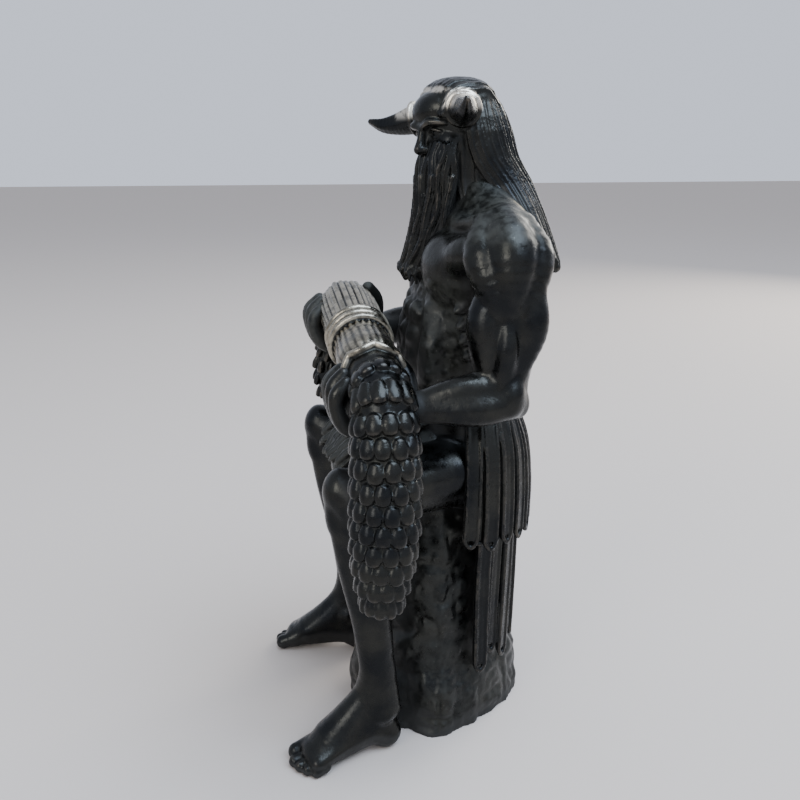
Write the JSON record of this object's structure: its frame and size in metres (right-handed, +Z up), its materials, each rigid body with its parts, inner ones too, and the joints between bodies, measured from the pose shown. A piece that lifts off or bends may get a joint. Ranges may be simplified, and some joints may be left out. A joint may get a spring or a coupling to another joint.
{
  "type": "seated bronze figurine",
  "caption": "Desk ornament: cast bronze figure of a horned, bearded man in a leaf skirt, seated on a boulder with a sheaf of grain across his lap.",
  "frame": {"origin": "middle of the bounding box at the surface the figure stands on", "axes": "+Z up, the figure faces -Y, his left hand is on +X"},
  "size_m": [0.0342, 0.0286, 0.0635],
  "materials": {
    "bronze": "near-black brown patina, semi-gloss, worn brighter on the high spots and dusty in the recesses"
  },
  "bodies": {
    "root": {"horned_farmer_figure": "bronze"}
  },
  "joints": []
}
